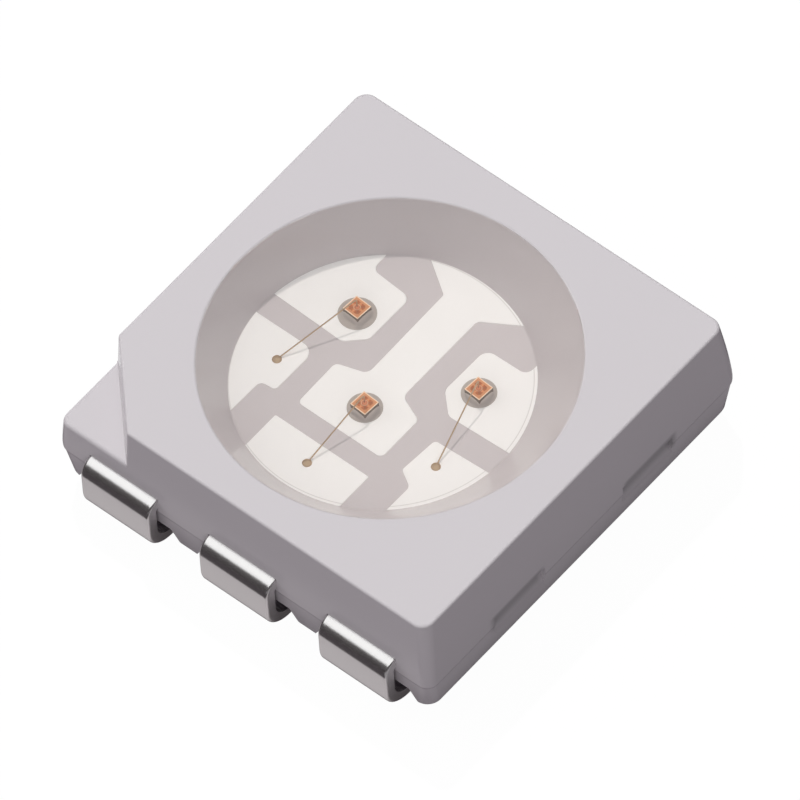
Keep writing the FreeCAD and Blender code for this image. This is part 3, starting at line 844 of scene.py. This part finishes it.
class LED_OT_housing(bpy.types.Operator):
    """Makes the moulded housing with its cup, polarity corner, notches and pockets"""
    bl_idname = "led.housing"
    bl_label = "Housing"

    def execute(self, context):
        s, leads = sizes("housing"), sizes("leads")
        made = to_object("housing_shell", loft(lower_levels(s)))
        carve(made, [loft(upper_levels(s))], "UNION")
        carve(made, [cup_cutter()] + notch_cutters(s) + pocket_cutters(s, leads)
              + lead_slots(s, leads))
        tidy_mesh(made, 28)
        material = self.plastic(s, context.scene.led_finishes)
        finish_piece(made, "moulded_housing", material, "housing_plastic", "housing")
        return {"FINISHED"}

    def plastic(self, s, colours):
        """Smooth moulded plastic, with painted shade at the top of the tie-bar notches."""
        material, nodes, shader = grained_material(
            "moulded_plastic", colours.plastic, metallic=0.0, roughness=0.21, spread=0.02,
            grain_size=30e-6, patch_size=1.2e-3, relief=0.3e-6, tint=0.008)
        shader.inputs["IOR"].default_value = 1.45
        place = nodes.axes()
        out, across = [nodes.maths("ABSOLUTE", place[axis]) for axis in "XY"]
        middle, half = s.notch_place + NOTCH_SHADE_SHIFT, s.notch_width / 2
        off_middle = nodes.maths("ABSOLUTE", nodes.maths("SUBTRACT", across, middle * MM))
        ends, foot, head = [[(start + way) * MM for way in ways] for start, ways in (
            (half, NOTCH_SHADE_ENDS), (s.notch_top, NOTCH_SHADE_FOOT), (s.notch_top, NOTCH_SHADE_HEAD))]
        # Painted shade: the plastic is darkened at the top of each notch, where the overhang shades
        # it
        shade = nodes.product(
            nodes.ramp(off_middle, *ends, 1.0, 0.0), nodes.ramp(place["Z"], *foot),
            nodes.ramp(place["Z"], *head, 1.0, 0.0),
            nodes.maths("GREATER_THAN", out, (s.width / 2 - NOTCH_SHADE_REACH) * MM))
        nodes.lay_over(shader, shade, [value * 0.62 for value in colours.plastic])
        return material


class LED_OT_leads(bpy.types.Operator):
    """Makes the six plated leads with their pads in the cup"""
    bl_idname = "led.leads"
    bl_label = "Lead frame"

    def execute(self, context):
        s, leads = sizes("housing"), sizes("leads")
        material = self.plating(context.scene.led_finishes)
        tree = strip_tree()
        half_sheet = leads.sheet / 2
        values = {
            "Width": leads.width, "Sheet": leads.sheet, "Outer Edge": leads.stamped_edge,
            "High Bend": leads.upper_bend - half_sheet, "Low Bend": leads.lower_bend - half_sheet,
            "Inner Edge": leads.burr_edge, "Material": material}
        face = leads.over_leads / 2 - half_sheet
        root = s.width / 2 - s.land_step - leads.sheet
        tip = leads.over_leads / 2 - leads.foot
        high, low = leads.underside + half_sheet, half_sheet
        for (row, side), corners in pad_outlines(s, leads).items():
            way = -1 if row == "front" else 1
            x = lead_places(leads)[side]
            path = [(x, way * y, z) for y, z in ((root, high), (face, high), (face, low),
                                                 (tip, low))]
            strip = along_path("strip", path, tree, values)
            self.join_pad(strip, corners, leads)
            tidy_mesh(strip, 32)
            node = "lead_%s_%s" % (row, side)
            finish_piece(strip, "plated_" + node, material, "plated_lead", node)
        return {"FINISHED"}

    def join_pad(self, strip, corners, leads):
        """Adds a pad with a rounded upper edge to a lead's strip."""
        top = pad_top(leads)
        pad = plate(corners, leads.underside, top)
        rim = [edge for edge in pad.edges
               if all(abs(point.co.z - top) < 0.1 * MICRON for point in edge.verts)]
        bmesh.ops.bevel(pad, geom=rim, offset=leads.pad_edge, segments=3, profile=0.5,
                        affect="EDGES", clamp_overlap=True)
        pad_mesh = bpy.data.meshes.new("pad")
        pad.to_mesh(pad_mesh)
        pad.free()
        bm = bmesh.new()
        bm.from_mesh(strip.data)
        bm.from_mesh(pad_mesh)
        bmesh.ops.recalc_face_normals(bm, faces=bm.faces)
        bm.to_mesh(strip.data)
        bm.free()
        bpy.data.meshes.remove(pad_mesh)

    def plating(self, colours):
        """Bright outside the housing and matt in the cup, dull where the sheet was sheared."""
        material, nodes, shader = grained_material(
            "silver_plating", colours.plating, metallic=1.0, roughness=0.24, spread=0.02,
            grain_size=30e-6, patch_size=0.5e-3, relief=0.1e-6, tint=0.015,
            stretch=(1.0, 0.12, 0.12))
        links = material.node_tree.links
        off_middle = nodes.maths("ABSOLUTE", nodes.axes()["Y"])
        in_cup = nodes.maths("LESS_THAN", off_middle, MATT_REACH * MM)
        # A fine darker line on the pads, in a circle just inside the foot of the cup's wall
        off_line = nodes.maths("ABSOLUTE", nodes.maths(
            "SUBTRACT", nodes.distance(PAD_RING_CENTRE), PAD_RING_RADIUS * MM))
        line = nodes.ramp(off_line, *(value * MM for value in PAD_RING_HALF), 1.0, 0.0)
        nodes.lay_over(shader, in_cup, nodes.mix(
            nodes.maths("MULTIPLY", line, PAD_RING_STRENGTH), colours.pads,
            PAD_RING_COLOUR))
        sheared = nodes.ramp(nodes.maths("ABSOLUTE", nodes.axes("Normal")["X"]), 0.75, 0.95)
        rough = shader.inputs["Roughness"]
        duller = nodes.maths("MAXIMUM", nodes.maths("MULTIPLY", sheared, SHEARED_DULLNESS),
                             nodes.maths("MULTIPLY", in_cup, PAD_DULLNESS))
        links.new(nodes.maths("ADD", duller, rough.links[0].from_socket), rough)
        metal = nodes.maths("MULTIPLY_ADD", in_cup, PAD_METAL - 1.0, 1.0)
        links.new(metal, shader.inputs["Metallic"])
        return material


class LED_OT_chips(bpy.types.Operator):
    """Makes the three chips with their glue and contact films"""
    bl_idname = "led.chips"
    bl_label = "Chips"

    def execute(self, context):
        s, pads = sizes("chips"), pad_top(sizes("leads"))
        colours = context.scene.led_finishes
        crystal = self.crystal_material(colours)
        glue = self.glue_material(colours)
        film = self.film_material(colours)
        base = pads + s.glue_line
        for side, (x, y) in CHIPS.items():
            self.crystal(side, x, y, base, s, crystal)
            self.glue(side, pads, s, glue)
            self.film(side, x, y, base + s.height, s, film)
        return {"FINISHED"}

    def crystal_material(self, colours):
        """Four dark fields on each chip's top, with a pale edge, and sides darkened with painted
        shade.
        """
        material, nodes, shader = new_material("chip_crystal")
        links = material.node_tree.links
        across, along = self.top_place(nodes)
        border = nodes.maths("MAXIMUM", across, along)
        grain = add_grain(nodes, 12e-6, 60e-6)
        field = nodes.product(nodes.ramp(nodes.maths("MULTIPLY", across, along), 0.02, 0.10),
                              nodes.ramp(border, 0.62, 0.84, 1.0, 0.0),
                              nodes.maths("MULTIPLY_ADD", grain["Patches"], 0.7, 0.6))
        top = nodes.mix(field, colours.crystal, colours.crystal_dark)
        edged = nodes.mix(nodes.ramp(border, 0.84, 0.92), top, colours.crystal_edge)
        # Painted shade on the sides: faces that do not look up take the darker side colour
        faces_up = nodes.ramp(nodes.axes("Normal")["Z"], 0.5, 0.8)
        links.new(nodes.mix(faces_up, colours.shaded_crystal_side, edged), shader.inputs["Base Color"])
        bump = nodes.add("ShaderNodeBump", {"Height": grain["Grain"], "Distance": 0.4e-6})
        links.new(bump.outputs[0], shader.inputs["Normal"])
        shader.inputs["Roughness"].default_value = 0.5
        return material

    def glue_material(self, colours):
        """Grey glue, painted paler where it climbs the chips, as painted light against the shade of
        that slope.
        """
        material, nodes, shader = grained_material(
            "die_glue", colours.glue, metallic=0.0, roughness=0.35, spread=0.05,
            grain_size=20e-6, patch_size=0.2e-3, relief=0.4e-6, tint=0.06)
        # Painted light: the glue is lightened where it climbs the chips, to cancel the shade on
        # that slope
        up = nodes.ramp(nodes.axes()["Z"], *(value * MM for value in GLUE_LIGHT_HEIGHTS))
        nodes.lay_over(shader, up, [value * 1.3 for value in colours.glue])
        return material

    def film_material(self, colours):
        """One colour each for the frame, the arms and the round pad."""
        material, nodes, shader = grained_material(
            "contact_metal", colours.film_frame, metallic=0.3, roughness=0.45, spread=0.05,
            grain_size=10e-6, patch_size=0.1e-3, relief=0.2e-6, tint=0.12)
        base = shader.inputs["Base Color"]
        across, along = self.top_place(nodes)
        reach = nodes.add("ShaderNodeCombineXYZ", {"X": across, "Y": along}).outputs[0]
        off_middle = nodes.add("ShaderNodeVectorMath", {0: reach}, operation="LENGTH")
        on_frame = nodes.ramp(nodes.maths("MAXIMUM", across, along), 0.55, 0.62)
        on_pad = nodes.ramp(off_middle.outputs["Value"], 0.33, 0.4, 1.0, 0.0)
        arms = nodes.mix(on_frame, colours.film, base.links[0].from_socket)
        material.node_tree.links.new(nodes.mix(on_pad, arms, colours.film_pad), base)
        return material

    def top_place(self, nodes):
        """How far out a place on a chip's top is, as shares of half the chip's side."""
        uv = nodes.add("ShaderNodeUVMap", uv_map="Top").outputs[0]
        place = nodes.add("ShaderNodeSeparateXYZ", {0: uv})
        return [nodes.maths("ABSOLUTE", place.outputs[axis]) for axis in "XY"]

    def place_on_chip(self, made, x, y, half):
        """Maps a piece to its chip's top and turns it with the chip."""
        layer = made.data.uv_layers.new(name="Top")
        for loop in made.data.loops:
            point = made.data.vertices[loop.vertex_index].co
            layer.data[loop.index].uv = ((point.x - x) / half, (point.y - y) / half)
        turn(made, x, y, CHIP_TURN)

    def crystal(self, side, x, y, base, s, material):
        half, edge = s.side / 2, CHIP_EDGE
        rings = []
        for down, inward in ((s.height, 0.0), (edge, 0.0), (edge * 0.3, edge * 0.3), (0.0, edge)):
            h = half - inward
            corners = rectangle(x - h, x + h, y - h, y + h, CHIP_CORNER)
            rings.append(at_height(outline(corners, 4), base + s.height - down))
        made = to_object("crystal", loft(rings))
        tidy_mesh(made, 50)
        self.place_on_chip(made, x, y, half)
        finish_piece(made, "crystal_" + side, material, "led_chip", "chip_" + side)

    def glue(self, side, pads, s, material):
        """A spot that is round at its edge and climbs the four sides of its chip."""
        x, y, width = GLUE_SPOTS[side]
        middle = Vector(CHIPS[side])
        half = s.side / 2 - GLUE_UNDERCUT
        rings = []
        for inward, up in GLUE_PROFILE:
            ring = []
            for px, py, _ in circle(0.0, 0.0, 0.0, 1.0, GLUE_SEGMENTS):
                out = Vector((px, py))
                across = Matrix.Rotation(-CHIP_TURN, 2) @ out
                reach = sum(abs(value) ** GLUE_SQUARENESS for value in across)
                square = half / reach ** (1 / GLUE_SQUARENESS)
                edge = Vector((x, y)) + out * width / 2
                place = edge.lerp(middle + out * square, inward)
                ring.append((place.x, place.y, pads + s.glue_climb * up))
            rings.append(ring)
        made = to_object("glue", loft(rings))
        tidy_mesh(made, 60)
        finish_piece(made, "glue_spot_" + side, material, "chip_glue", "chip_glue_" + side)

    def film(self, side, x, y, top, s, material):
        """A square frame with two crossed arms and a round pad in the middle."""
        outer = s.side / 2 - s.film_margin
        inner = outer - s.film_frame
        made = to_object("film", plate(rectangle(-outer, outer, -outer, outer), 0, s.film))
        carve(made, [plate(rectangle(-inner, inner, -inner, inner), -s.film, 2 * s.film)])
        reach = (outer + inner) / 2 * math.sqrt(2)
        arms = []
        for angle in (45, 135):
            arm = plate(rectangle(-reach, reach, -s.film_arm / 2, s.film_arm / 2), 0, s.film)
            bmesh.ops.rotate(arm, verts=arm.verts,
                             matrix=Matrix.Rotation(math.radians(angle), 3, "Z"))
            arms.append(arm)
        arms.append(loft([circle(0, 0, z, s.film_pad / 2, FILM_SEGMENTS) for z in (0, s.film)]))
        carve(made, arms, "UNION")
        made.data.transform(Matrix.Translation((x, y, top)))
        tidy_mesh(made, 40)
        self.place_on_chip(made, x, y, s.side / 2)
        finish_piece(made, "contact_film_" + side, material, "contact_film",
                     "chip_contact_" + side)


class LED_OT_wires(bpy.types.Operator):
    """Makes the three bond wires with the bonds at their ends"""
    bl_idname = "led.wires"
    bl_label = "Bond wires"

    def execute(self, context):
        s, pads = sizes("chips"), pad_top(sizes("leads"))
        film_top = pads + s.glue_line + s.height + s.film
        material = self.metal(s, film_top, context.scene.led_finishes)
        tree = wire_tree()
        values = {"Diameter": s.wire, "Bend": s.wire_bend, "First Bond": s.chip_ball,
                  "Last Bond": s.pad_ball, "Bond Height": s.ball_height, "Material": material}
        for side, (x, y) in CHIPS.items():
            path = [(x, y, film_top), (x, y, film_top + s.wire_rise), (*PAD_BONDS[side], pads)]
            made = along_path("wire", path, tree, values)
            tidy_mesh(made, 60)
            finish_piece(made, "bond_wire_metal_" + side, material, "bond_wire",
                         "bond_wire_" + side)
        return {"FINISHED"}

    def metal(self, s, film_top, colours):
        """Dull metal, with a painted reflection of the chips in a warmer colour on their bonds."""
        material, nodes, shader = grained_material(
            "bond_metal", colours.wire, metallic=1.0, roughness=0.45, spread=0.05,
            grain_size=10e-6, patch_size=0.1e-3, relief=0.2e-6, tint=0.08)
        # Painted reflection: the bonds on the chips take a warmer colour for the chips they mirror
        nearest = 1.0
        for x, y in CHIPS.values():
            nearest = nodes.maths("MINIMUM", nodes.distance((x, y, film_top)), nearest)
        reach = s.chip_ball / 2 * MM
        on_bond = nodes.ramp(nearest, reach, 1.3 * reach, 1.0, 0.0)
        nodes.lay_over(shader, on_bond, colours.bond)
        return material


class LED_OT_resin(bpy.types.Operator):
    """Fills the cup with clear resin"""
    bl_idname = "led.resin"
    bl_label = "Resin"

    def execute(self, context):
        cup, s = sizes("cup"), sizes("housing")
        overlap = 3 * MICRON
        surface = s.top - cup.fill_drop
        floor = pad_top(sizes("leads")) - cup.pad_stand - overlap
        rings = [cup_circle(floor, overlap),
                 cup_circle(surface + cup.meniscus - overlap, overlap)]
        steps = 10
        for i in range(steps + 1):
            climb = cup.meniscus * (1 - i / steps) ** 3
            rings.append(cup_circle(surface + climb, overlap - cup.meniscus_reach * i / steps))
        made = to_object("resin", loft(rings))
        tidy_mesh(made, 40)
        material = self.clear(context.scene.led_finishes)
        finish_piece(made, "clear_fill", material, "clear_resin", "resin_fill")
        return {"FINISHED"}

    def clear(self, colours):
        """Plain glass that lets the lamps' light through, a little dimmed."""
        material, nodes, shader = new_material("clear_resin")
        shader.inputs["Base Color"].default_value = (*colours.resin, 1.0)
        shader.inputs["Roughness"].default_value = 0.0
        shader.inputs["IOR"].default_value = colours.resin_index
        shader.inputs["Transmission Weight"].default_value = 1.0
        see_through = nodes.add("ShaderNodeBsdfTransparent", {
            "Color": (*colours.resin_shade, 1.0)})
        path = nodes.add("ShaderNodeLightPath").outputs
        mixed = nodes.add("ShaderNodeMixShader", {
            0: path["Is Shadow Ray"], 1: shader.outputs[0], 2: see_through.outputs[0]})
        output = material.node_tree.get_output_node("ALL")
        material.node_tree.links.new(mixed.outputs[0], output.inputs["Surface"])
        return material


class LED_OT_stage(bpy.types.Operator):
    """Sets up the floor, the lamps, the surroundings and the camera"""
    bl_idname = "led.stage"
    bl_label = "Stage"

    def execute(self, context):
        settings = context.scene.led_studio
        self.floor()
        self.dark_card()
        self.surroundings(settings)
        for name, direction, distance, size in LAMPS:
            self.lamp(name + "_lamp", Vector(direction) * distance, size, getattr(settings, name))
        self.camera(context.scene)
        context.scene.view_settings.view_transform = "Standard"
        return {"FINISHED"}

    def floor(self):
        """White to the camera, dim to what it lights, and a glow of painted light and shade to what
        mirrors it.
        """
        bm = bmesh.new()
        bmesh.ops.create_grid(bm, x_segments=1, y_segments=1, size=FLOOR_HALF)
        made = to_object("floor", bm)
        made.location.z = -FLOOR_DROP
        material, nodes = empty_material("pale_floor")
        path = nodes.add("ShaderNodeLightPath").outputs
        place = nodes.axes()
        # Painted light and shade for mirrors: a dark glow stands for the part's shadow, with
        # painted light before each row of leads and on the left, and grey on the right
        off_middle = nodes.maths("ABSOLUTE", place["Y"])
        strip = nodes.product(nodes.ramp(off_middle, 2.5 * MM, 2.75 * MM),
                              nodes.ramp(off_middle, 3.15 * MM, 3.3 * MM, 1.0, 0.0))
        left = nodes.product(nodes.ramp(place["X"], -2.5 * MM, -2.6 * MM),
                             nodes.ramp(off_middle, 2.2 * MM, 2.4 * MM, 1.0, 0.0))
        right = nodes.ramp(place["X"], 2.45 * MM, 2.6 * MM)
        painted_mirror_floor = nodes.mix(strip, MIRRORED_SHADE, MIRRORED_STRIP_LIGHT)
        painted_mirror_floor = nodes.mix(left, painted_mirror_floor, MIRRORED_LEFT_LIGHT)
        painted_mirror_floor = nodes.mix(right, painted_mirror_floor, MIRRORED_RIGHT_GREY)

        def matt(colour):
            return nodes.add("ShaderNodeBsdfDiffuse", {"Color": (*colour, 1.0)}).outputs[0]

        glow = nodes.add("ShaderNodeEmission", {"Strength": FLOOR_GLOW})
        seen = nodes.add("ShaderNodeAddShader", {0: matt(FLOOR_LIT), 1: glow.outputs[0]})
        in_mirror = nodes.add("ShaderNodeEmission", {"Color": painted_mirror_floor})
        other = nodes.add("ShaderNodeMixShader", {
            0: self.is_mirrored(nodes, path), 1: matt(FLOOR_BOUNCE), 2: in_mirror.outputs[0]})
        whole = nodes.add("ShaderNodeMixShader", {
            0: path["Is Camera Ray"], 1: other.outputs[0], 2: seen.outputs[0]})
        nodes.add("ShaderNodeOutputMaterial", {"Surface": whole.outputs[0]})
        made.data.materials.append(material)

    def is_mirrored(self, nodes, path):
        return nodes.maths("MAXIMUM", path["Is Glossy Ray"], path["Is Transmission Ray"])

    def dark_card(self):
        """A low dark card all round, seen only in shiny surfaces, which gives metal its bands."""
        bm, _ = tube([circle(0, 0, z, CARD_RADIUS, CARD_SIDES) for z in (0.0, CARD_HEIGHT)])
        made = to_object("dark_card", bm)
        material = bpy.data.materials.new("dark_card")
        material.use_nodes = True
        shader = material.node_tree.nodes["Principled BSDF"]
        shader.inputs["Base Color"].default_value = CARD_COLOUR
        shader.inputs["Roughness"].default_value = 0.9
        shader.inputs["Specular IOR Level"].default_value = 0.0
        made.data.materials.append(material)
        for kind in ("camera", "diffuse", "transmission", "volume_scatter", "shadow"):
            setattr(made, "visible_" + kind, False)

    def surroundings(self, settings):
        """White where it is seen or mirrored, and dimmer as light."""
        world = bpy.data.worlds.new("studio")
        bpy.context.scene.world = world
        world.use_nodes = True
        world.node_tree.nodes.clear()
        nodes = Nodes(world.node_tree)
        path = nodes.add("ShaderNodeLightPath").outputs
        direct = nodes.maths("LESS_THAN", path["Diffuse Depth"], 0.5)
        mirrored = nodes.maths("MULTIPLY", self.is_mirrored(nodes, path), direct)
        shown = nodes.maths("MAXIMUM", path["Is Camera Ray"], mirrored)
        in_resin = nodes.maths("MULTIPLY", path["Is Transmission Ray"], settings.through_resin)
        strength = nodes.maths("MAXIMUM", nodes.maths("MAXIMUM", shown, in_resin),
                               settings.ambient)
        sky = nodes.add("ShaderNodeBackground", {"Color": (1.0, 1.0, 1.0, 1.0),
                                                 "Strength": strength})
        nodes.add("ShaderNodeOutputWorld", {"Surface": sky.outputs[0]})

    def lamp(self, name, place, size, power):
        data = bpy.data.lights.new(name, "AREA")
        data.shape = "DISK"
        data.size = size
        data.energy = power
        made = bpy.data.objects.new(name, data)
        made.location = place
        made.rotation_euler = place.to_track_quat("Z", "Y").to_euler()
        made.visible_transmission = False
        made.visible_glossy = False
        bpy.context.collection.objects.link(made)

    def camera(self, scene):
        """The photograph's long view, from 55 degrees up and 43 degrees round to the right."""
        back = Vector((math.sin(VIEW_ROUND) * math.cos(VIEW_UP),
                       -math.cos(VIEW_ROUND) * math.cos(VIEW_UP), math.sin(VIEW_UP)))
        level = Vector((math.cos(VIEW_ROUND), math.sin(VIEW_ROUND), 0.0))
        upright = back.cross(level)
        right = level * math.cos(VIEW_ROLL) + upright * math.sin(VIEW_ROLL)
        up = upright * math.cos(VIEW_ROLL) - level * math.sin(VIEW_ROLL)
        data = bpy.data.cameras.new("camera")
        data.lens = LENS
        data.sensor_width = SENSOR
        data.clip_start = 0.01
        data.clip_end = 10.0
        made = bpy.data.objects.new("camera", data)
        place = (back * VIEW_DISTANCE + right * VIEW_RIGHT + up * VIEW_RAISED) * MM
        turned = Matrix((right, up, back)).transposed().to_4x4()
        made.matrix_world = Matrix.Translation(place) @ turned
        bpy.context.collection.objects.link(made)
        scene.camera = made


OPERATORS = (LED_OT_housing, LED_OT_leads, LED_OT_chips, LED_OT_wires, LED_OT_resin, LED_OT_stage)
GROUPS = {"led_housing": HousingSizes, "led_cup": CupSizes, "led_leads": LeadSizes,
          "led_chips": ChipSizes, "led_finishes": Finishes, "led_studio": StudioSettings}


class LED_PT_panel(bpy.types.Panel):
    """Lists the steps that dress the LED"""
    bl_idname = "LED_PT_panel"
    bl_label = "Three-chip LED"
    bl_space_type = "VIEW_3D"
    bl_region_type = "UI"
    bl_category = "LED"

    def draw(self, context):
        for operator in OPERATORS:
            self.layout.operator(operator.bl_idname)


def register():
    for group in GROUPS.values():
        bpy.utils.register_class(group)
    for name, group in GROUPS.items():
        setattr(bpy.types.Scene, name, PointerProperty(type=group))
    for operator in (*OPERATORS, LED_PT_panel):
        bpy.utils.register_class(operator)


def unregister():
    for operator in (LED_PT_panel, *OPERATORS):
        bpy.utils.unregister_class(operator)
    for name, group in GROUPS.items():
        delattr(bpy.types.Scene, name)
        bpy.utils.unregister_class(group)


def main():
    register()
    bpy.ops.led.housing()
    bpy.ops.led.leads()
    bpy.ops.led.chips()
    bpy.ops.led.wires()
    bpy.ops.led.resin()
    bpy.ops.led.stage()


if __name__ == "__main__":
    main()
